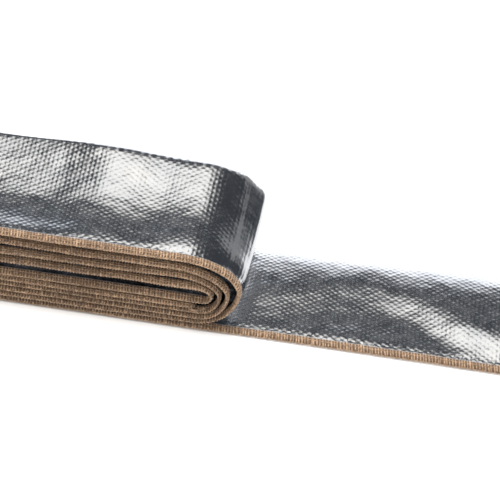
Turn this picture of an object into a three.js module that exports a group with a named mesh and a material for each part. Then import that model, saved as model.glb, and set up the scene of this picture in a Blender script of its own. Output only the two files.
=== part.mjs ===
// Heat shield sleeve: a flattened tube of foil-faced glass cloth with one overlocked edge,
// wound into a flat coil whose outer end runs on along the floor as a tail.
// Millimetres, +Z up. X runs along the sleeve, -Y is the sewn edge and +Y the folded edge.
import * as THREE from 'three';

// Cloth and seam
const boreDiameter = 32;
const wall = 0.4;
const flatThickness = 1.6;
const seamWidth = 3;
const threadThickness = 0.3;
const threadClearance = 0.1;

// Winding
const coilLength = 142;
const tailLength = 139;
const cutEndSetback = 14.5;
const pressedGap = 0.3;
const innerGap = 0.6;
const windowGap = 3.3;
const looseGap = 1.7;

// Right-hand bends, where the coil's face is seen
const outerBendGap = 2;
const middleBendGap = 0.9;
const innerBendGap = 1;
// Length of a bend's quarter along X for each millimetre that it rises
const upperBendRatio = 2.1;
const lowerBendRatio = 1;
// Share of the outermost bend's height at which it reaches furthest out
const outerApexShare = 0.56;

// Left-hand bends
const leftBendGap = 1.4;
const leftBendRatio = 1;

// The folded edge is rounder than the sewn one, so the coil is taller and longer there
const foldLift = 0.226;
const foldReach = 2.5;

const stationsPerTurn = 12;
const foldSides = 4;

// A tube of this bore lies flat as two plies, each half its circumference wide
const tubeWidth = Math.PI * boreDiameter / 2;
const sleeveWidth = tubeWidth + seamWidth;

// Heights of the limbs, each measured at the middle of its thickness
const pressedPitch = flatThickness + pressedGap;
const loosePitch = flatThickness + looseGap;
const floorLevel = flatThickness / 2;
const lowerLevels = [1, 2, 3].map((step) => floorLevel + step * pressedPitch);
const cutEndLevel = lowerLevels[2] + pressedPitch;
const innerLevel = cutEndLevel + flatThickness + innerGap;
const windowLevel = innerLevel + flatThickness + windowGap;
const upperLevels = [1, 2, 3].map((step) => windowLevel + step * loosePitch);

// Ends of the bends along X, from the coil's outermost right-hand bend at zero
const rightApexes = [-flatThickness / 2];
for (const gap of [outerBendGap, middleBendGap, innerBendGap]) {
  rightApexes.push(rightApexes.at(-1) - flatThickness - gap);
}
const leftApexes = [-coilLength + flatThickness / 2];
while (leftApexes.length < 5) {
  leftApexes.push(leftApexes.at(-1) + flatThickness + leftBendGap);
}

const stations = [];

function addStation(x, z, tangentX, tangentZ) {
  stations.push({
    point: new THREE.Vector3(x, 0, z),
    tangent: new THREE.Vector3(tangentX, 0, tangentZ).normalize(),
  });
}

// Half-turn from one limb to the next: two quarter ellipses that meet at the apex,
// each with a length along X for each millimetre that it rises, negative to the left
function addTurn(fromZ, toZ, apexX, fromRatio, toRatio, apexShare = 0.5) {
  const half = stationsPerTurn / 2;
  const fromRise = (toZ - fromZ) * apexShare;
  const toRise = toZ - fromZ - fromRise;
  const apexZ = fromZ + fromRise;
  const fromReach = Math.abs(fromRise) * fromRatio;
  const toReach = Math.abs(toRise) * toRatio;
  for (let step = 0; step <= half; step += 1) {
    const angle = step / half * Math.PI / 2;
    addStation(
      apexX - fromReach * (1 - Math.sin(angle)),
      apexZ - fromRise * Math.cos(angle),
      fromReach * Math.cos(angle),
      fromRise * Math.sin(angle),
    );
  }
  for (let step = 1; step <= half; step += 1) {
    const angle = step / half * Math.PI / 2;
    addStation(
      apexX - toReach * (1 - Math.cos(angle)),
      apexZ + toRise * Math.sin(angle),
      -toReach * Math.sin(angle),
      toRise * Math.cos(angle),
    );
  }
}

// The cut end lies under the innermost limb, and on the left a round fold joins the two
addStation(-cutEndSetback, cutEndLevel, -1, 0);
addTurn(cutEndLevel, innerLevel, leftApexes[4], -leftBendRatio, -leftBendRatio);

// From there each limb passes round the right-hand bend, back along the top and round the left
const lower = [innerLevel, lowerLevels[2], lowerLevels[1], lowerLevels[0]];
const upper = [windowLevel, ...upperLevels];
upper.forEach((top, turn) => {
  const next = lower[turn + 1] ?? floorLevel;
  const apexShare = turn === upper.length - 1 ? outerApexShare : 0.5;
  addTurn(lower[turn], top, rightApexes[3 - turn], lowerBendRatio, upperBendRatio, apexShare);
  addTurn(top, next, leftApexes[3 - turn], -leftBendRatio, -leftBendRatio);
});
addStation(tailLength, floorLevel, 1, 0);

// The origin is the middle of the whole length, on the floor
const middleX = (tailLength - coilLength - foldReach) / 2;
stations.forEach(({ point }) => { point.x -= middleX; });

// The sleeve's centre line, with a section at each station above
class WoundPath extends THREE.Curve {
  getPointAt(share, target = new THREE.Vector3()) {
    return target.copy(stations[Math.round(share * (stations.length - 1))].point);
  }

  getTangentAt(share, target = new THREE.Vector3()) {
    return target.copy(stations[Math.round(share * (stations.length - 1))].tangent);
  }
}

function sweep(section) {
  const geometry = new THREE.ExtrudeGeometry(section, {
    steps: stations.length - 1,
    extrudePath: new WoundPath(),
    curveSegments: foldSides,
  });
  growTowardsFold(geometry.attributes.position);
  geometry.computeVertexNormals();
  return geometry;
}

// Lifts and lengthens the coil in step with the distance from the sewn edge
function growTowardsFold(position) {
  const rightBend = -middleX;
  const coilMiddle = rightBend - coilLength / 2;
  for (let index = 0; index < position.count; index += 1) {
    const x = position.getX(index);
    const share = (position.getY(index) + sleeveWidth / 2) / sleeveWidth;
    const inCoil = Math.max(-1, (x - coilMiddle) / (coilLength / 2));
    const pull = x < rightBend + flatThickness ? Math.min(1, inCoil) : 0;
    position.setX(index, x + foldReach * share * pull);
    position.setZ(index, position.getZ(index) * (1 + foldLift * share));
  }
}

// Sections are drawn with x through the thickness and y across the width, the sewn edge at +y
const foldEdge = -sleeveWidth / 2;
const sewnEdge = sleeveWidth / 2;
const seamLine = sewnEdge - seamWidth;

function clothSection() {
  const radius = flatThickness / 2;
  const tongueEnd = sewnEdge - threadThickness - threadClearance;
  const outline = new THREE.Shape();
  outline.moveTo(wall, tongueEnd);
  outline.lineTo(-wall, tongueEnd);
  outline.lineTo(-wall, seamLine - threadClearance);
  outline.lineTo(-radius, seamLine - threadClearance);
  outline.absarc(0, foldEdge + radius, radius, Math.PI, 2 * Math.PI, false);
  outline.lineTo(radius, seamLine - threadClearance);
  outline.lineTo(wall, seamLine - threadClearance);
  const slot = new THREE.Path();
  slot.moveTo(-radius + wall, foldEdge + flatThickness);
  slot.lineTo(-radius + wall, seamLine - seamWidth);
  slot.lineTo(radius - wall, seamLine - seamWidth);
  slot.lineTo(radius - wall, foldEdge + flatThickness);
  outline.holes.push(slot);
  return outline;
}

function stitchingSection() {
  const outside = flatThickness / 2;
  const inside = outside - threadThickness;
  const outline = new THREE.Shape();
  outline.moveTo(outside, seamLine);
  outline.lineTo(outside, sewnEdge - threadThickness);
  outline.lineTo(inside, sewnEdge);
  outline.lineTo(-inside, sewnEdge);
  outline.lineTo(-outside, sewnEdge - threadThickness);
  outline.lineTo(-outside, seamLine);
  outline.lineTo(-inside, seamLine);
  outline.lineTo(-inside, sewnEdge - threadThickness);
  outline.lineTo(inside, sewnEdge - threadThickness);
  outline.lineTo(inside, seamLine);
  return outline;
}

const foil = new THREE.MeshStandardMaterial({ color: 0x9a9ea3, roughness: 0.35, metalness: 0.9 });
const thread = new THREE.MeshStandardMaterial({ color: 0x94755a, roughness: 0.85, metalness: 0 });

const cloth = new THREE.Mesh(sweep(clothSection()), foil);
cloth.name = 'sleeve_cloth';

const stitching = new THREE.Mesh(sweep(stitchingSection()), thread);
stitching.name = 'overlock_stitching';

const sleeve = new THREE.Group();
sleeve.add(cloth, stitching);

export default sleeve;
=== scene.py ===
import math

import bpy
import numpy as np
from mathutils import Matrix, Vector


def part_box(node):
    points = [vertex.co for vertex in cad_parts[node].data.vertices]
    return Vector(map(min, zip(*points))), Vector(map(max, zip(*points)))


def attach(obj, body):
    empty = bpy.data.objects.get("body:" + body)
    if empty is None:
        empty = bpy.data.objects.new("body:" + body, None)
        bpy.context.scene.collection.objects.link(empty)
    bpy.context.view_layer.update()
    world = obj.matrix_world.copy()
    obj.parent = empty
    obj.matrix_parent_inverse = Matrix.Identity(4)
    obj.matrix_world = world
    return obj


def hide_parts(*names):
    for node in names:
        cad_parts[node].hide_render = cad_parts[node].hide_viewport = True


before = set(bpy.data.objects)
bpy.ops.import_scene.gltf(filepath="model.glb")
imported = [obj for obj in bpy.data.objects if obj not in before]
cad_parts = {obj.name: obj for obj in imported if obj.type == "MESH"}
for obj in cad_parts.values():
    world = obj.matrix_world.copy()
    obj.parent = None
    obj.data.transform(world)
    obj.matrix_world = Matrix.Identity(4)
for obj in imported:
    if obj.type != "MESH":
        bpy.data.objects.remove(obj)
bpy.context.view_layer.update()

MM = 0.001
node_low, node_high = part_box("sleeve_cloth")

# Sizes of the sleeve, in millimetres, as in the part's own source
SLEEVE_WIDTH = 53.27
FLAT_THICKNESS = 1.6
SEAM_WIDTH = 3.0
COIL_LENGTH = 142.0
CUT_END_SETBACK = 14.5
PRESSED_GAP = 0.3
INNER_GAP = 0.6
WINDOW_GAP = 3.3
LOOSE_GAP = 1.7
OUTER_BEND_GAP = 2.0
MIDDLE_BEND_GAP = 0.9
INNER_BEND_GAP = 1.0
UPPER_BEND_RATIO = 2.1
LOWER_BEND_RATIO = 1.0
LEFT_BEND_GAP = 1.4
LEFT_BEND_RATIO = 1.0
OUTER_APEX_SHARE = 0.56
FOLD_LIFT = 0.226
FOLD_REACH = 2.5

# How the soft sleeve departs from an even ribbon.
# Rise of the coil towards its fold: a wave along X, a knee in the rise across the width
LIFT_WAVE = 0.028
LIFT_WAVE_LENGTH = 70.0
LIFT_CREST = -50.0
LIFT_START = 0.25
LIFT_KNEE = 0.45
LIFT_KNEE_SOFTNESS = 0.12
# How far past the coil's right end its longer reach by the fold fades out
REACH_FADE = 40.0
# Wander of the sewn edge across, and of the limbs off their middle line
EDGE_WANDER = 0.55
LIMB_WANDER = 0.10
LOOSE_WANDER = 0.22
# Half the thickness of the sewn plies, the share of it left at the very edge and the width that it takes
PLY_PAIR_HALF = 0.58
EDGE_PINCH = 0.5
EDGE_PINCH_WIDTH = 2.8
# Half thickness over the width: pressed, where limbs lie loose and beside the open window
COIL_PLUMP = 0.8
LOOSE_PLUMP = 1.42
WINDOW_PLUMP = 2.35
# What the right-hand bends add, and from how far before its apex the outermost bend's outer face has none
BEND_PLUMP = 0.4
OUTERMOST_BEND_START = 30.0
# Wander of the half thickness, and the share by which the seam of a loose limb is fuller
PLUMP_WANDER = 0.05
LOOSE_FULLNESS = 0.12
# Widths over which the plies part behind the seam, fill the gaps and roll in at the fold
SEAM_SHOULDER = 3.4
PUFF_START = 3.6
PUFF_WIDTH = 4.5
COIL_ROLL = 4.5
# Heights between which limbs lie loose, and where the window and the top limb are
LOOSE_LOW = 14.0
LOOSE_HIGH = 24.0
WINDOW_HEIGHT = 13.0
WINDOW_REACH = 4.5
TOP_HEIGHT = 22.5
# How far in from the coil's right end its bends begin
BEND_DEPTH = 9.0
# The open window lies inside this much of the sleeve from its inner end: the coil's first full turn
WINDOW_END = 360.0
# The tail's upper ply: X, middle of its slope from the seam, half the slope's width, rise,
# width of its far roll. It holds over the last length of the sleeve.
TAIL_SLOPE = [
    (-5, 19, 13, 1.2, 37), (15, 20, 13, 1.2, 37), (40, 31, 13, 1.3, 28), (60, 25, 10, 1.5, 24),
    (74, 14.5, 9, 2.2, 20), (88, 10, 7, 2.1, 18), (112, 13, 9, 2.2, 24), (142, 26, 11, 1.6, 28),
]
TAIL_PLY_LENGTH = 142.0
# The tail's width as a share of the sleeve's, by the coil and further out, the length between them
# and the length over which the tail's width sets in
TAIL_NARROWEST = 0.958
TAIL_WIDEST = 1.035
TAIL_SPREAD = 84.0
TAIL_BLEND = 12.0
# Creases of the outermost bend: steepness of the cloth there in degrees, push by the seam, push by
# the fold, spread along the sleeve and how far nearer to the apex it runs by the seam
BEND_CREASES = [(62, 0.10, 0.85, 1.7, 2.6), (26, 0.18, 0.30, 2.4, 2.0)]
# How far past its apex the outermost bend is followed to place them
BEND_LENGTH = 40.0
# How far the top limb's upper ply rises from the seam inwards: X and rise, then the width that it takes
TOP_SHOULDER = [(-139, 0), (-100, -0.6), (-62, -0.6), (-48, 0.0), (-30, 0.1), (-16, 0.9), (2, 0.9)]
TOP_SHOULDER_WIDTH = 14.0

# Cloth mesh: wall, least half gap between the plies, and where the inner face ends by seam and fold
WALL = 0.36
LEAST_HALF_GAP = 0.04
INNER_SEAM_END = 1.1
INNER_FOLD_END = 0.45
# Places of the cloth's lengthwise edges across one ply, from the sewn edge to short of the fold
ACROSS = np.r_[
    0.35, np.linspace(1.8, 5.8, 5), np.linspace(8.5, SLEEVE_WIDTH - 7, 10),
    SLEEVE_WIDTH - np.array([4.4, 2.8, 1.5, 0.6, 0.15]),
]
# Sections for each millimetre on the limbs, and more in step with how fast a bend turns
LIMB_SECTIONS = 0.55
BEND_SECTIONS = 9.0

# Weave: distance from one float to the next, along the sleeve and across it, and their relief
WARP_PITCH = 1.36
WEFT_PITCH = 1.16
WEAVE_RELIEF = 0.020
# Stretch of the sleeve that is pulled taut, from the outermost bend's apex
TAUT_START = -3.0
TAUT_END = 11.0
TAUT_SOFTNESS = 3.0

# Overlock stitching
STITCH = 0.97
FIRST_STITCH = 0.5
LOOPER_RADIUS = 0.275
CHAIN_RADIUS = 0.17
NEEDLE_RADIUS = 0.12
LACE_RADIUS = 0.17
LOOSE_END_RADIUS = 0.14
# Lacing threads: face, depth from the edge and phase
LACES = [(1, 1.7, 0.0), (-1, 0.8, 0.8), (-1, 2.0, 2.4)]
# One loop round the sewn edge: depth from the edge, height off the cloth's middle, share of a stitch
LOOP_DEPTH = np.array([3.05, 2.75, 1.7, 0.5, 0.02, -0.12, 0.02, 0.5, 1.7, 2.75, 3.05, 3.1])
LOOP_HEIGHT = np.array([0.25, 0.50, 0.50, 0.34, 0.24, 0.0, -0.24, -0.34, -0.50, -0.50, -0.25, 0.0])
LOOP_SHIFT = np.array([0.0, 0.03, 0.14, 0.27, 0.33, 0.36, 0.39, 0.45, 0.58, 0.71, 0.76, 0.88])
STITCHING_SECTIONS = 5
# Short fibres in each section, and the loose threads at the inner cut end: run, reach outwards, drop
FIBRES = 150
FIBRE_RADIUS = 0.035
LOOSE_THREADS = [(5.2, 0.9, 0.9), (3.4, 0.6, -0.9), (2.6, 1.2, 0.2)]

# Colours, roughness and relief of the materials; the thread's twist by length and by strands round it
FOIL_DARK = (0.50, 0.52, 0.55)
FOIL_LIGHT = (0.60, 0.61, 0.63)
FOIL_ROUGHNESS = (0.15, 0.21)
FOIL_CREASES = 0.4
SEAM_PUCKER = 0.17
# Matt cloth under the stitch threads, painted dark brown: painted shade between the threads
SEAM_PAINTED_SHADE = (0.16, 0.105, 0.068)
SEAM_ROUGHNESS = 0.6
BACKING_DARK = (0.55, 0.52, 0.45)
BACKING_LIGHT = (0.78, 0.76, 0.70)
BACKING_RELIEF = 0.08
THREAD_DARK = (0.19, 0.103, 0.052)
THREAD_LIGHT = (0.70, 0.470, 0.290)
THREAD_RELIEF = 0.05
THREAD_LAY = 0.5
THREAD_STRANDS = 3
FLOOR_COLOUR = (0.85, 0.842, 0.835)

# Step of the fine centre line
STEP = 0.25
UV_NAME = "Weave"


# Winding: centre line of the sleeve in the X-Z plane

def half_turn(from_z, to_z, apex_x, from_ratio, to_ratio, apex_share=0.5, steps=48):
    """Two quarter ellipses that meet at the apex; a negative ratio bends to the left."""
    rise = (to_z - from_z) * apex_share
    rest = to_z - from_z - rise
    apex_z = from_z + rise
    angle = np.linspace(0, np.pi / 2, steps)
    first = np.c_[apex_x - abs(rise) * from_ratio * (1 - np.sin(angle)), apex_z - rise * np.cos(angle)]
    second = np.c_[apex_x - abs(rest) * to_ratio * (1 - np.cos(angle)), apex_z + rest * np.sin(angle)]
    return np.vstack([first, second[1:]])


def winding(right_end, tail_end):
    """Corner points of the centre line, from the inner cut end to the end of the tail."""
    pitch = FLAT_THICKNESS + PRESSED_GAP
    floor_level = FLAT_THICKNESS / 2
    low = [floor_level + pitch * k for k in (1, 2, 3)]
    cut_level = low[2] + pitch
    inner_level = cut_level + FLAT_THICKNESS + INNER_GAP
    window_level = inner_level + FLAT_THICKNESS + WINDOW_GAP
    high = [window_level + (FLAT_THICKNESS + LOOSE_GAP) * k for k in range(4)]
    right = [right_end - FLAT_THICKNESS / 2]
    for gap in (OUTER_BEND_GAP, MIDDLE_BEND_GAP, INNER_BEND_GAP):
        right.append(right[-1] - FLAT_THICKNESS - gap)
    left_pitch = FLAT_THICKNESS + LEFT_BEND_GAP
    left = [right_end - COIL_LENGTH + FLAT_THICKNESS / 2 + left_pitch * k for k in range(5)]
    parts = [np.array([[right_end - CUT_END_SETBACK, cut_level]])]
    parts.append(half_turn(cut_level, inner_level, left[4], -LEFT_BEND_RATIO, -LEFT_BEND_RATIO))
    bottoms = [inner_level, low[2], low[1], low[0], floor_level]
    for k, top in enumerate(high):
        share = OUTER_APEX_SHARE if k == 3 else 0.5
        parts.append(half_turn(bottoms[k], top, right[3 - k], LOWER_BEND_RATIO, UPPER_BEND_RATIO, share))
        parts.append(half_turn(top, bottoms[k + 1], left[3 - k], -LEFT_BEND_RATIO, -LEFT_BEND_RATIO))
    parts.append(np.array([[tail_end, floor_level]]))
    return np.vstack(parts)


RIGHT_END = node_low[0] / MM + FOLD_REACH + COIL_LENGTH
TAIL_END = node_high[0] / MM
corners = winding(RIGHT_END, TAIL_END)
corner_s = np.r_[0, np.cumsum(np.hypot(*np.diff(corners, axis=0).T))]
TOTAL = corner_s[-1]

# The same line at even steps, with its heading smoothed a little so that limbs run softly into bends
fine_s = np.arange(0, TOTAL, STEP)
fine_x = np.interp(fine_s, corner_s, corners[:, 0])
fine_z = np.interp(fine_s, corner_s, corners[:, 1])


def smoothed(values, reach):
    """Moving average that leaves both ends where they are."""
    kernel = np.hanning(2 * reach + 1)
    kernel /= kernel.sum()
    line = np.linspace(values[0], values[-1], len(values))
    return line + np.convolve(np.pad(values - line, reach, mode="reflect"), kernel, mode="valid")


fine_tx = np.gradient(smoothed(fine_x, 3), fine_s)
fine_tz = np.gradient(smoothed(fine_z, 3), fine_s)
norm = np.hypot(fine_tx, fine_tz)
fine_tx, fine_tz = fine_tx / norm, fine_tz / norm
# Upper half of the outermost right-hand bend, from its apex: the heading runs from upright to level
apex = np.nonzero((fine_tx[:-1] > 0) & (fine_tx[1:] <= 0))[0][-1]
bend = slice(apex, apex + int(BEND_LENGTH / STEP))
bend_heading, bend_s = np.maximum.accumulate(-fine_tx[bend]), fine_s[bend]


def waves(s, seed, count, longest):
    """Smooth seeded wander of about one unit along the sleeve."""
    draw = np.random.default_rng(seed)
    total = np.zeros_like(np.asarray(s, float))
    for k in range(count):
        total += np.sin(2 * np.pi * s / (longest / (1 + 0.7 * k)) + draw.uniform(0, 6.28)) / (1 + 0.5 * k)
    return total / count ** 0.5


def ease(t):
    """Smooth step from nought to one."""
    t = np.clip(t, 0, 1)
    return t * t * (3 - 2 * t)


def lift_share(share):
    """Share of the lift reached across the width: shallow by the seam, steeper towards the fold."""
    knee = 0.5 * LIFT_KNEE_SOFTNESS * np.logaddexp(0, (share - LIFT_KNEE) / (0.5 * LIFT_KNEE_SOFTNESS))
    end = 0.5 * LIFT_KNEE_SOFTNESS * np.logaddexp(0, (1 - LIFT_KNEE) / (0.5 * LIFT_KNEE_SOFTNESS))
    return LIFT_START * share + (1 - LIFT_START) * knee / end


def crease_offset(s, share):
    """Outward push at the outermost bend, where the stiff cloth turns in creases and not in one curve."""
    push = 0.0
    for angle, height, height_at_fold, spread, lean in BEND_CREASES:
        at = np.interp(math.cos(math.radians(angle)), bend_heading, bend_s) - lean * (1 - share)
        push = push + (height + (height_at_fold - height) * share) * np.exp(-((s - at) / spread) ** 2)
    return -push


def place(s, v, n):
    """Point in metres at s along the sleeve, v across it from the sewn edge and n off its middle."""
    x = np.interp(s, fine_s, fine_x)
    z = np.interp(s, fine_s, fine_z)
    tx = np.interp(s, fine_s, fine_tx)
    tz = np.interp(s, fine_s, fine_tz)
    share = np.clip(v / SLEEVE_WIDTH, 0, 1)
    loose = ease((z - LOOSE_LOW) / 2) * ease((LOOSE_HIGH - z) / 2)
    n = n * (1 + LOOSE_FULLNESS * loose * (1 - ease((v - SEAM_WIDTH + 1) / 3)))
    n = n + crease_offset(s, share) + (LIMB_WANDER + LOOSE_WANDER * loose) * waves(s, 23, 6, 85)
    x = x - n * tz
    z = z + n * tx
    in_tail = ease((s - (TOTAL - (TAIL_END - RIGHT_END) - TAIL_BLEND)) / TAIL_BLEND)
    spread = TAIL_NARROWEST + (TAIL_WIDEST - TAIL_NARROWEST) * ease((x - RIGHT_END + 6) / TAIL_SPREAD)
    wander = EDGE_WANDER * waves(s, 5, 6, 330) * (1 - in_tail)
    y = -SLEEVE_WIDTH / 2 + v * (1 + (spread - 1) * in_tail) + wander
    coil_middle = RIGHT_END - COIL_LENGTH / 2
    in_coil = np.maximum(-1, (x - coil_middle) / (COIL_LENGTH / 2))
    beyond = np.maximum(0, 1 - (x - RIGHT_END) / REACH_FADE)
    x = x + FOLD_REACH * share * np.where(x < RIGHT_END, in_coil, beyond)
    wave = LIFT_WAVE * np.cos(2 * np.pi * (x - LIFT_CREST) / LIFT_WAVE_LENGTH) * (1 - in_tail)
    z = z * (1 + FOLD_LIFT * lift_share(share) + wave * share)
    return np.stack([x, y, z], axis=-1) * MM


# Cloth: a flattened tube, pinched where it is sewn

def half_thickness(s, v, side):
    """Distance of one ply's outer face from the sleeve's middle; side is 1 for the inner face of the coil."""
    x, z = np.interp(s, fine_s, fine_x), np.interp(s, fine_s, fine_z)
    tail = ease((s - (TOTAL - TAIL_PLY_LENGTH)) / 10) * (side > 0)
    at, *columns = (np.array(column, float) for column in zip(*TAIL_SLOPE))
    centre, width, rise, far_roll = (np.interp(x, at, column) for column in columns)
    rise = rise * ease((v - centre + width) / (2 * width))
    top = ease((z - TOP_HEIGHT) / 2.5) * (side < 0)
    shoulder = np.interp(x, *zip(*TOP_SHOULDER)) * ease(v / TOP_SHOULDER_WIDTH) * top
    upper = LOOSE_LOW - 0.5
    bending = ease((x - RIGHT_END + BEND_DEPTH) / 3) * ease((z - 2) / 2) * (z < upper)
    loose = ease((z - upper) / 2) * (1 - top) + bending
    beside_window = np.where(side > 0, ease(1 - np.abs(z - WINDOW_HEIGHT) / WINDOW_REACH), 0)
    beside_window = beside_window * (s < WINDOW_END)
    inside = (side > 0) | (s < bend_s[0] - OUTERMOST_BEND_START)
    snug = ease((x - RIGHT_END + BEND_DEPTH) / 4) * ease((z - 5) / 2) * inside
    puff = (LOOSE_PLUMP - COIL_PLUMP) * loose + (WINDOW_PLUMP - LOOSE_PLUMP) * beside_window
    puff = (puff + BEND_PLUMP * snug) * ease((v - PUFF_START) / PUFF_WIDTH)
    plump = COIL_PLUMP + rise * tail + shoulder + puff + PLUMP_WANDER * waves(s, 11, 5, 60)
    pinched = PLY_PAIR_HALF * (EDGE_PINCH + (1 - EDGE_PINCH) * ease(v / EDGE_PINCH_WIDTH))
    body = pinched + (plump - PLY_PAIR_HALF) * ease((v - SEAM_WIDTH + 0.4) / SEAM_SHOULDER)
    roll = COIL_ROLL + (far_roll - COIL_ROLL) * tail
    turn = np.clip((v - (SLEEVE_WIDTH - roll)) / roll, 0, 1)
    return body * np.sqrt(np.clip(1 - turn ** 2, 0, 1))


def above_floor(verts):
    """Cloth and thread that reach the floor are pressed flat on it."""
    verts = np.array(verts, float)
    verts[:, 2] = np.maximum(verts[:, 2], 0)
    return verts


def mesh_object(name, verts, faces, materials, uv=None):
    """Mesh with faces of one size; uv has one pair for each corner of each face."""
    mesh = bpy.data.meshes.new(name)
    verts = above_floor(verts)
    faces = np.asarray(faces, np.int32)
    mesh.vertices.add(len(verts))
    mesh.vertices.foreach_set("co", verts.astype(np.float32).ravel())
    mesh.loops.add(faces.size)
    mesh.loops.foreach_set("vertex_index", faces.ravel())
    mesh.polygons.add(len(faces))
    mesh.polygons.foreach_set("loop_start", np.arange(0, faces.size, faces.shape[1], dtype=np.int32))
    mesh.update(calc_edges=True)
    if uv is not None:
        layer = mesh.uv_layers.new(name=UV_NAME)
        layer.data.foreach_set("uv", np.asarray(uv, np.float32).ravel())
    mesh.polygons.foreach_set("use_smooth", np.ones(len(faces), bool))
    mesh.validate()
    ob = bpy.data.objects.new(name, mesh)
    bpy.context.scene.collection.objects.link(ob)
    for material in materials:
        mesh.materials.append(material)
    return ob


def cloth_stations():
    """Places of the cloth's sections along it: close together in the bends, further apart on the limbs."""
    turning = np.abs(np.gradient(np.unwrap(np.arctan2(fine_tz, fine_tx)), fine_s))
    density = LIMB_SECTIONS + BEND_SECTIONS * smoothed(turning, 6)
    travelled = np.r_[0, np.cumsum((density[1:] + density[:-1]) / 2 * np.diff(fine_s))]
    count = int(travelled[-1])
    return np.interp(np.linspace(0, travelled[-1], count + 1), travelled, fine_s)


def four_corners(value, i, j):
    """Value at the four corners of each cell of a grid, in turn round it."""
    return np.stack([value(i, j), value(i + 1, j), value(i + 1, j + 1), value(i, j + 1)], -2)


def build_cloth(foil, backing):
    """Both faces of the tube as closed rings of sections, joined at the two cut ends."""
    s = cloth_stations()
    rows = len(s)
    v = np.r_[ACROSS, SLEEVE_WIDTH, ACROSS[::-1]]
    ring = len(v)
    side = np.r_[np.ones(len(ACROSS)), 1, -np.ones(len(ACROSS))]
    sign = np.r_[np.ones(len(ACROSS)), 0, -np.ones(len(ACROSS))]
    s_grid, v_grid = np.meshgrid(s, v, indexing="ij")
    reach = half_thickness(s_grid, v_grid, np.broadcast_to(side, s_grid.shape))
    outer = place(s_grid, v_grid, reach * sign)
    inner_v = np.clip(v_grid, INNER_SEAM_END, SLEEVE_WIDTH - INNER_FOLD_END)
    inner = place(s_grid, inner_v, np.clip(reach - WALL, LEAST_HALF_GAP, None) * sign)
    verts = np.vstack([outer.reshape(-1, 3), inner.reshape(-1, 3)])

    around = np.r_[v[:len(ACROSS) + 1], 2 * SLEEVE_WIDTH - v[len(ACROSS) + 1:]]
    around = np.r_[around, around[0] + 2 * SLEEVE_WIDTH]
    i, j = np.meshgrid(np.arange(rows - 1), np.arange(ring), indexing="ij")
    outer_faces = four_corners(lambda row, at: (row * ring + at % ring)[..., None], i, j).reshape(-1, 4)
    outer_uv = four_corners(lambda row, at: np.stack([s[row], around[at]], -1), i, j).reshape(-1, 4, 2)
    shift = rows * ring
    inner_faces = outer_faces[:, ::-1] + shift
    inner_uv = outer_uv[:, ::-1]
    k = np.arange(ring)
    following = (k + 1) % ring
    start = np.stack([k, following, following + shift, k + shift], -1)
    last = (rows - 1) * ring
    end = np.stack([following, k, k + shift, following + shift], -1) + last
    rim_uv = np.zeros((2 * ring, 4, 2))
    faces = np.vstack([outer_faces, inner_faces, start, end])
    uv = np.vstack([outer_uv, inner_uv, rim_uv]).reshape(-1, 2) * MM

    ob = mesh_object("sleeve_cloth_visual", verts, faces, [foil, backing], uv)
    which = np.zeros(len(faces), np.int32)
    which[len(outer_faces):] = 1
    ob.data.polygons.foreach_set("material_index", which)
    return ob


# Thread: tubes swept along computed routes

def tube(points, sideways, radius, sides):
    """Closed tube round a route; sideways is a direction that never lies along the route."""
    tangent = np.gradient(points, axis=0)
    tangent /= np.linalg.norm(tangent, axis=1, keepdims=True)
    first = sideways - tangent * np.sum(sideways * tangent, axis=1, keepdims=True)
    first /= np.linalg.norm(first, axis=1, keepdims=True)
    second = np.cross(tangent, first)
    angle = np.linspace(0, 2 * np.pi, sides, endpoint=False)
    r = np.broadcast_to(radius, len(points))[:, None, None]
    offset = np.cos(angle)[None, :, None] * first[:, None] + np.sin(angle)[None, :, None] * second[:, None]
    verts = (points[:, None] + r * offset).reshape(-1, 3)
    count = len(points)
    i, j = np.meshgrid(np.arange(count - 1), np.arange(sides), indexing="ij")
    faces = four_corners(lambda side, row: (row * sides + side % sides)[..., None], j, i).reshape(-1, 4)
    length = np.r_[0, np.cumsum(np.linalg.norm(np.diff(points, axis=0), axis=1))]
    uv = four_corners(lambda side, row: np.stack([length[row], side / sides * MM], -1), j, i)
    start, end = len(verts), len(verts) + 1
    verts = np.vstack([verts, points[0], points[-1]])
    k = np.arange(sides)
    following = (k + 1) % sides
    last = (count - 1) * sides
    caps = np.vstack([
        np.c_[np.full(sides, start), following, k],
        np.c_[np.full(sides, end), k + last, following + last],
    ])
    return verts, faces, uv.reshape(-1, 4, 2), caps


def thread_object(name, tubes, material):
    """One mesh from several tubes."""
    mesh = bpy.data.meshes.new(name)
    verts, loops, starts, uvs = [], [], [], []
    base, at = 0, 0
    for v, quads, uv, caps in tubes:
        verts.append(v)
        loops += [(quads + base).ravel(), (caps + base).ravel()]
        starts += [at + 4 * np.arange(len(quads)), at + 4 * len(quads) + 3 * np.arange(len(caps))]
        uvs += [uv.reshape(-1, 2), np.zeros((3 * len(caps), 2))]
        base += len(v)
        at += 4 * len(quads) + 3 * len(caps)
    verts, loops = above_floor(np.vstack(verts)), np.concatenate(loops)
    starts, uvs = np.concatenate(starts), np.vstack(uvs)
    mesh.vertices.add(len(verts))
    mesh.vertices.foreach_set("co", verts.astype(np.float32).ravel())
    mesh.loops.add(len(loops))
    mesh.loops.foreach_set("vertex_index", loops.astype(np.int32))
    mesh.polygons.add(len(starts))
    mesh.polygons.foreach_set("loop_start", starts.astype(np.int32))
    mesh.update(calc_edges=True)
    layer = mesh.uv_layers.new(name=UV_NAME)
    layer.data.foreach_set("uv", uvs.astype(np.float32).ravel())
    mesh.polygons.foreach_set("use_smooth", np.ones(len(starts), bool))
    mesh.materials.append(material)
    ob = bpy.data.objects.new(name, mesh)
    bpy.context.scene.collection.objects.link(ob)
    return ob


def along(s):
    """Direction of the sleeve at s, as a sideways direction for threads that cross it."""
    return np.stack([np.interp(s, fine_s, fine_tx), np.zeros_like(s), np.interp(s, fine_s, fine_tz)], -1)


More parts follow.
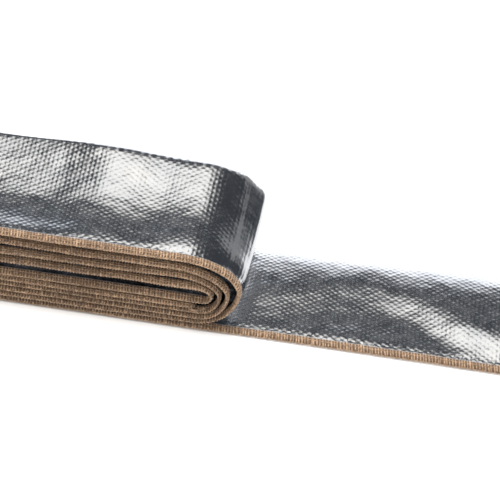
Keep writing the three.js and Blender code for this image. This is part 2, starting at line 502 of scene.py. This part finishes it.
def looper_route(first, last):
    """Thread that wraps the sewn edge once a stitch, from stitch first to last."""
    rng = np.random.default_rng(21 + first)
    turns, points = last - first, len(LOOP_DEPTH)

    def spread(amount):
        return np.repeat(rng.normal(0, amount, turns), points)

    depth = np.tile(LOOP_DEPTH, turns) * (1 + spread(0.05))
    height = np.tile(LOOP_HEIGHT, turns) * (1 + spread(0.06))
    depth = depth + np.tile(LOOP_HEIGHT > 0.2, turns) * spread(0.16)
    shift = np.tile(LOOP_SHIFT, turns) + spread(0.07) + np.tile(LOOP_HEIGHT > 0.2, turns) * spread(0.10)
    s = (np.repeat(np.arange(first, last), points) + shift) * STITCH + FIRST_STITCH
    return s, depth, height


def looper_radius(first, last):
    """Thread lies slim on the faces and is packed full round the very edge."""
    rng = np.random.default_rng(51 + first)
    full = np.interp(LOOP_DEPTH, (0.2, 1.2), (0.92, 0.80))
    wander = np.repeat(rng.normal(1, 0.17, last - first), len(full))
    return LOOPER_RADIUS * MM * np.tile(full, last - first) * wander


def chain_route(first, last):
    """Thread of the knotted chain along the very edge."""
    points = 8
    rng = np.random.default_rng(71 + first)
    t = np.arange((last - first) * points + 1) / points + first
    angle = 2 * np.pi * t
    s = t * STITCH + FIRST_STITCH + 0.10 * np.sin(2 * angle)
    swing = np.repeat(rng.uniform(0.24, 0.36, last - first + 1), points)[:len(t)]
    return s, -0.42 - 0.05 * np.cos(2 * angle), swing * np.sin(angle)


def lace_route(first, last, side, depth, phase):
    """Thread that laces the wraps together on one face, zigzagging about its depth from the edge."""
    points = 4
    rng = np.random.default_rng(int(130 + first + 10 * depth + side))
    t = np.arange((last - first) * points + 1) / points + first
    angle = 2 * np.pi * t + phase
    s = t * STITCH + FIRST_STITCH
    d = depth + 0.20 * np.cos(angle) + rng.normal(0, 0.06, len(t))
    return s, d, side * (0.56 + 0.08 * np.sin(angle) + rng.normal(0, 0.03, len(t)))


def needle_route(first, last, side):
    """Row of needle stitches just inside the looper threads, on one face."""
    points = 4
    t = np.arange((last - first) * points + 1) / points + first
    s = t * STITCH + FIRST_STITCH
    return s, np.full_like(s, SEAM_WIDTH - 0.25), side * (0.42 + 0.10 * np.abs(np.sin(np.pi * t)))


def stray_fibres(first, last):
    """Short fibres that stand off the sewn edge."""
    rng = np.random.default_rng(90 + first)
    tubes = []
    t = np.linspace(0, 1, 6)
    for _ in range(FIBRES):
        start = rng.uniform(first, last) * STITCH
        reach, out, up = rng.uniform(-1.4, 1.4), rng.uniform(0.3, 1.1), rng.uniform(-0.5, 0.6)
        side = rng.choice([-1, 1])
        s = np.clip(start + reach * t, 0.1, TOTAL - 0.1)
        d = 0.9 - (0.9 + out) * np.sin(1.6 * t)
        n = side * 0.55 * (1 - t) + up * t
        tubes.append(tube(place(s, d, n), along(s), FIBRE_RADIUS * MM * (1 - 0.6 * t), sides=3))
    return tubes


def unravelled_threads():
    """Unravelled threads that hang at the inner cut end."""
    tubes = []
    t = np.linspace(0, 1, 14)
    for k, (run, out, drop) in enumerate(LOOSE_THREADS):
        s = 1.6 - run * t
        d = -0.45 - out * np.sin(2.2 * t)
        n = 0.3 - drop * t ** 1.5 + 0.25 * np.sin(5 * t + k)
        points = place(np.maximum(s, 0.3), d, n)
        points[:, 0] -= np.minimum(s - 0.3, 0) * MM
        sideways = np.repeat(np.array([[0.0, 1.0, 0.2]]), len(t), 0)
        tubes.append(tube(points, sideways, LOOSE_END_RADIUS * MM, sides=5))
    return tubes


def build_stitching(thread):
    """Every thread of the overlock, in sections along the sleeve that follow one another."""
    stitches = int((TOTAL - 2 * FIRST_STITCH) / STITCH)
    bounds = np.linspace(0, stitches, STITCHING_SECTIONS + 1).astype(int)
    pieces = []
    for part in range(STITCHING_SECTIONS):
        first, last = bounds[part], bounds[part + 1]
        s, d, n = looper_route(first, last)
        tubes = [tube(place(s, d, n), along(s), looper_radius(first, last), sides=6)]
        lengthwise = [(chain_route(first, last), CHAIN_RADIUS, 5)]
        lengthwise += [(lace_route(first, last, *lace), LACE_RADIUS, 4) for lace in LACES]
        lengthwise += [(needle_route(first, last, side), NEEDLE_RADIUS, 4) for side in (1, -1)]
        for (s, d, n), radius, sides in lengthwise:
            crossways = np.repeat(np.array([[0.0, 1.0, 0.0]]), len(s), 0)
            tubes.append(tube(place(s, d, n), crossways, radius * MM, sides))
        tubes += stray_fibres(first, last)
        if part == 0:
            tubes += unravelled_threads()
        pieces.append(thread_object(f"overlock_stitching_{part + 1}", tubes, thread))
    return pieces


# Materials

def new_material(name):
    """A material, its node tree and its main shader."""
    material = bpy.data.materials.new(name)
    material.use_nodes = True
    return material, material.node_tree, material.node_tree.nodes["Principled BSDF"]


def maths(tree, operation, *values):
    """Maths node; each value is a number or another node's output."""
    node = tree.nodes.new("ShaderNodeMath")
    node.operation = operation
    for socket, value in zip(node.inputs, values):
        if isinstance(value, (int, float)):
            socket.default_value = value
        else:
            tree.links.new(value, socket)
    return node.outputs[0]


def noise(tree, scale, detail=2.0):
    """Soft noise over the object's own coordinates; scale is in lumps for each metre."""
    node = tree.nodes.new("ShaderNodeTexNoise")
    node.inputs["Scale"].default_value = scale
    node.inputs["Detail"].default_value = detail
    tree.links.new(tree.nodes.new("ShaderNodeTexCoord").outputs["Object"], node.inputs["Vector"])
    return node.outputs["Fac"]


def map_range(tree, value, low, high, to_low=0.0, to_high=1.0, kind="LINEAR"):
    """Value moved from one range to another and held at its ends."""
    node = tree.nodes.new("ShaderNodeMapRange")
    node.interpolation_type = kind
    node.inputs["From Min"].default_value = low
    node.inputs["From Max"].default_value = high
    node.inputs["To Min"].default_value = to_low
    node.inputs["To Max"].default_value = to_high
    tree.links.new(value, node.inputs["Value"])
    return node.outputs["Result"]


def window(tree, value, low, high, soft):
    """One between low and high, nought outside, with soft edges."""
    edges = [map_range(tree, value, edge - soft, edge + soft, kind="SMOOTHSTEP") for edge in (low, high)]
    return maths(tree, "SUBTRACT", *edges)


def bump_node(tree, height, distance, below=None):
    """Relief of that many millimetres, on top of another bump's normal if there is one."""
    node = tree.nodes.new("ShaderNodeBump")
    node.inputs["Distance"].default_value = distance * MM
    tree.links.new(height, node.inputs["Height"])
    if below is not None:
        tree.links.new(below.outputs["Normal"], node.inputs["Normal"])
    return node


def colour_ramp(tree, value, low, dark, high, light):
    """Dark colour at low and below, light colour at high and above."""
    ramp = tree.nodes.new("ShaderNodeValToRGB")
    elements = ramp.color_ramp.elements
    elements[0].position = low
    elements[0].color = (*dark, 1)
    elements[1].position = high
    elements[1].color = (*light, 1)
    tree.links.new(value, ramp.inputs["Fac"])
    return ramp.outputs["Color"]


def own_coordinates(tree):
    """Distance along the piece and round it, from its own coordinates; a thread counts as 1 mm round."""
    uv = tree.nodes.new("ShaderNodeUVMap")
    uv.uv_map = UV_NAME
    split = tree.nodes.new("ShaderNodeSeparateXYZ")
    tree.links.new(uv.outputs["UV"], split.inputs[0])
    return split.outputs[0], split.outputs[1]


def weave_height(tree):
    """Plain-weave relief from the cloth's own coordinates: a checker of floats, longer along the sleeve."""
    length, girth = own_coordinates(tree)
    wander = maths(tree, "MULTIPLY", maths(tree, "SUBTRACT", noise(tree, 420.0), 0.5), 1.3)
    u = maths(tree, "ADD", maths(tree, "MULTIPLY", length, math.pi / (WARP_PITCH * MM)), wander)
    v = maths(tree, "MULTIPLY", girth, math.pi / (WEFT_PITCH * MM))
    checker = maths(tree, "MULTIPLY", maths(tree, "COSINE", u), maths(tree, "COSINE", v))
    rows = maths(tree, "COSINE", maths(tree, "MULTIPLY", v, 2.0))
    columns = maths(tree, "COSINE", maths(tree, "MULTIPLY", u, 2.0))
    # Pulled round the outermost bend, the threads along the sleeve flatten and those across it stand out
    taut_start = (bend_s[0] + TAUT_START) * MM
    taut_end = (bend_s[0] + TAUT_END) * MM
    taut = window(tree, length, taut_start, taut_end, TAUT_SOFTNESS * MM)
    checked = maths(tree, "ADD", checker, maths(tree, "MULTIPLY", rows, 0.15))
    slack = maths(tree, "SUBTRACT", 0.88, maths(tree, "MULTIPLY", taut, 0.80))
    ribs = maths(tree, "ADD", 0.36, maths(tree, "MULTIPLY", taut, 0.30))
    return maths(tree, "ADD", maths(tree, "MULTIPLY", checked, slack), maths(tree, "MULTIPLY", columns, ribs))


def seam_mask(tree, edge_from, edge_to):
    """Nought nearer to the sewn edge than the first distance, one beyond the second."""
    girth = own_coordinates(tree)[1]
    inwards = maths(tree, "ABSOLUTE", maths(tree, "SUBTRACT", girth, SLEEVE_WIDTH * MM))
    return map_range(tree, inwards, (SLEEVE_WIDTH - edge_from) * MM, (SLEEVE_WIDTH - edge_to) * MM)


def foil_material():
    """Foil over the weave, with soft creases and a pucker by the seam; in the seam, under the threads, matt
    cloth painted dark brown as painted shade.
    """
    material, tree, shader = new_material("foil_cloth")
    creases = bump_node(tree, noise(tree, 90.0, 3.0), FOIL_CREASES)
    pucker = bump_node(tree, noise(tree, 600.0), SEAM_PUCKER, creases)
    away = seam_mask(tree, SEAM_WIDTH, SEAM_WIDTH + 3.0)
    tree.links.new(maths(tree, "SUBTRACT", 1.0, away), pucker.inputs["Strength"])
    weave = bump_node(tree, weave_height(tree), WEAVE_RELIEF, pucker)
    tree.links.new(weave.outputs["Normal"], shader.inputs["Normal"])
    foil_colour = colour_ramp(tree, noise(tree, 60.0, 3.0), 0.3, FOIL_DARK, 0.7, FOIL_LIGHT)
    free = seam_mask(tree, SEAM_WIDTH - 0.3, SEAM_WIDTH + 0.1)
    # Under the threads the foil gives way to matt cloth in the dark brown painted shade of the seam
    tint = tree.nodes.new("ShaderNodeMix")
    tint.data_type = "RGBA"
    tint.inputs["A"].default_value = (*SEAM_PAINTED_SHADE, 1)
    tree.links.new(free, tint.inputs["Factor"])
    tree.links.new(foil_colour, tint.inputs["B"])
    tree.links.new(tint.outputs["Result"], shader.inputs["Base Color"])
    tree.links.new(free, shader.inputs["Metallic"])
    rough = map_range(tree, noise(tree, 240.0), 0.3, 0.7, *FOIL_ROUGHNESS)
    matt = maths(tree, "MULTIPLY", maths(tree, "SUBTRACT", 1.0, free), SEAM_ROUGHNESS)
    tree.links.new(maths(tree, "ADD", rough, matt), shader.inputs["Roughness"])
    return material


def backing_material():
    """Bare glass cloth of the sleeve's inside."""
    material, tree, shader = new_material("glass_cloth_backing")
    weave = bump_node(tree, weave_height(tree), BACKING_RELIEF)
    tree.links.new(weave.outputs["Normal"], shader.inputs["Normal"])
    colour = colour_ramp(tree, noise(tree, 500.0, 3.0), 0.0, BACKING_DARK, 1.0, BACKING_LIGHT)
    tree.links.new(colour, shader.inputs["Base Color"])
    shader.inputs["Roughness"].default_value = 0.8
    return material


def thread_material():
    """Twisted tan thread, mottled light and dark at random, with painted shade in the grooves of its twist
    and painted light on its ridges.
    """
    material, tree, shader = new_material("sewing_thread")
    length, girth = own_coordinates(tree)
    lay = maths(tree, "MULTIPLY", length, 2 * math.pi / (THREAD_LAY * MM))
    strands = maths(tree, "MULTIPLY", girth, 2 * math.pi * THREAD_STRANDS / MM)
    twist = maths(tree, "SINE", maths(tree, "ADD", lay, strands))
    relief = bump_node(tree, twist, THREAD_RELIEF)
    tree.links.new(relief.outputs["Normal"], shader.inputs["Normal"])
    # Random mottle, plus the twist's relief as painted shade: darker in its grooves, lighter on its ridges
    mottle_and_groove_shade = maths(tree, "ADD", maths(tree, "MULTIPLY", noise(tree, 1250.0, 3.0), 0.8),
                   maths(tree, "MULTIPLY", twist, 0.06))
    mottle_and_groove_shade = maths(tree, "ADD", mottle_and_groove_shade, maths(tree, "MULTIPLY", noise(tree, 60.0), 0.2))
    colour = colour_ramp(tree, mottle_and_groove_shade, 0.38, THREAD_DARK, 0.62, THREAD_LIGHT)
    tree.links.new(colour, shader.inputs["Base Color"])
    shader.inputs["Roughness"].default_value = 0.40
    shader.inputs["Specular IOR Level"].default_value = 0.65
    shader.inputs["Sheen Weight"].default_value = 0.3
    shader.inputs["Sheen Roughness"].default_value = 0.4
    return material


# Build

foil = foil_material()
backing = backing_material()
thread = thread_material()

cloth = build_cloth(foil, backing)
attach(cloth, "root")
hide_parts("sleeve_cloth")

stitching = build_stitching(thread)
for piece in stitching:
    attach(piece, "root")
    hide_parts("overlock_stitching")


# Studio

def floor_material():
    material, tree, shader = new_material("floor")
    shader.inputs["Base Color"].default_value = (*FLOOR_COLOUR, 1)
    shader.inputs["Roughness"].default_value = 0.9
    return material


def build_floor():
    half = 3.0
    verts = [(-half, -half, 0), (half, -half, 0), (half, half, 0), (-half, half, 0)]
    return mesh_object("floor", verts, [(0, 1, 2, 3)], [floor_material()])


def overhead_light():
    """Soft light on thread and floor; the foil mirrors the world's panels alone."""
    data = bpy.data.lights.new("overhead", "AREA")
    data.shape = "SQUARE"
    data.size = LIGHT_SIZE
    data.energy = LIGHT_POWER
    ob = bpy.data.objects.new("overhead", data)
    ob.location = LIGHT_PLACE
    ob.rotation_euler = (-Vector(LIGHT_PLACE)).to_track_quat("-Z", "Y").to_euler()
    ob.visible_glossy = False
    bpy.context.scene.collection.objects.link(ob)


# Panels round the object, by direction: side limits, height limits, softness, which way, colour and
# strength. Side is the sine of the angle to the right, height the sine of the angle above the horizon.
PANELS = {
    "white_sweep": ((-0.34, 0.26), (-1.2, 0.425), 0.07, "back", (1.0, 1.0, 1.02), 1.8),
    "low_walls": ((-1.2, 1.2), (-1.2, 0.10), 0.08, "back", (0.9, 0.95, 1.0), 0.12),
    "side_panel": ((0.31, 0.62), (-1.2, 0.50), 0.035, "back", (1.0, 0.97, 0.93), 0.32),
    "soft_box": ((-0.165, 0.12), (0.725, 0.955), 0.05, "back", (1.0, 0.965, 0.90), 1.75),
    "blue_panel": ((-0.75, -0.12), (0.30, 0.52), 0.10, "back", (0.75, 0.87, 1.0), 0.30),
    "ceiling": ((-1.2, 1.2), (0.975, 1.2), 0.015, "round", (0.95, 0.97, 1.0), 0.45),
    "front_fill": ((-0.9, 0.9), (0.20, 0.85), 0.12, "front", (1.0, 0.98, 0.95), 1.45),
}
ROOM_COLOUR = (0.062, 0.067, 0.077)
WAY_LIMITS = {"back": (0.0, 2.0), "front": (-2.0, 0.0), "round": (-2.0, 2.0)}
WAY_SOFTNESS = 0.05
# Overhead light, in metres and watts
LIGHT_PLACE = (-0.05, 0.07, 1.1)
LIGHT_SIZE = 0.6
LIGHT_POWER = 15


def build_world():
    """Studio seen in the foil: a dark room with soft panels."""
    world = bpy.data.worlds.new("studio")
    bpy.context.scene.world = world
    world.use_nodes = True
    tree = world.node_tree
    split = tree.nodes.new("ShaderNodeSeparateXYZ")
    tree.links.new(tree.nodes.new("ShaderNodeTexCoord").outputs["Generated"], split.inputs[0])
    across, away, height = split.outputs
    total = None
    for sides, heights, soft, way, colour, strength in PANELS.values():
        share = window(tree, across, *sides, soft)
        share = maths(tree, "MULTIPLY", share, window(tree, height, *heights, soft))
        share = maths(tree, "MULTIPLY", share, window(tree, away, *WAY_LIMITS[way], WAY_SOFTNESS))
        tint = tree.nodes.new("ShaderNodeVectorMath")
        tint.operation = "MULTIPLY_ADD"
        tree.links.new(share, tint.inputs[0])
        tint.inputs[1].default_value = [c * strength for c in colour]
        if total is None:
            tint.inputs[2].default_value = ROOM_COLOUR
        else:
            tree.links.new(total, tint.inputs[2])
        total = tint.outputs[0]
    background = tree.nodes["Background"]
    tree.links.new(total, background.inputs["Color"])
    background.inputs["Strength"].default_value = 1.0


build_floor()
build_world()
overhead_light()

bpy.context.scene.view_settings.view_transform = "Standard"

# Camera, at the photograph's viewing angle. Pixel values are in the 500 x 500 frame.
IMAGE_SIZE = 500
ELEVATION = 33.0
AZIMUTH = 1.0
ROLL = 7.96
DISTANCE = 0.997
FOCAL_PIXELS = 3000.0
ANCHOR_PIXEL = (238.83, 289.33)
ANCHOR_SETBACK = 1.5


def build_camera():
    """Camera that sees its anchor, just inside the coil's right end, on the anchor's pixel."""
    data = bpy.data.cameras.new("camera")
    data.sensor_width = 36
    data.lens = FOCAL_PIXELS / IMAGE_SIZE * data.sensor_width
    data.clip_start, data.clip_end = 0.01, 20
    ob = bpy.data.objects.new("camera", data)
    bpy.context.scene.collection.objects.link(ob)
    az, el, roll = (math.radians(a) for a in (AZIMUTH, ELEVATION, ROLL))
    look = Vector((-math.sin(az) * math.cos(el), math.cos(az) * math.cos(el), -math.sin(el)))
    right = look.cross(Vector((0, 0, 1))).normalized()
    up = right.cross(look)
    turned_right = right * math.cos(roll) + up * math.sin(roll)
    turned_up = up * math.cos(roll) - right * math.sin(roll)
    basis = Matrix((turned_right, turned_up, -look)).transposed()
    pixel = DISTANCE / FOCAL_PIXELS
    off_x = (ANCHOR_PIXEL[0] - IMAGE_SIZE / 2) * pixel
    off_y = (IMAGE_SIZE / 2 - ANCHOR_PIXEL[1]) * pixel
    anchor = Vector(((RIGHT_END - ANCHOR_SETBACK) * MM, 0, 0))
    place_at = anchor - look * DISTANCE - turned_right * off_x - turned_up * off_y
    ob.matrix_world = Matrix.Translation(place_at) @ basis.to_4x4()
    bpy.context.scene.camera = ob


build_camera()
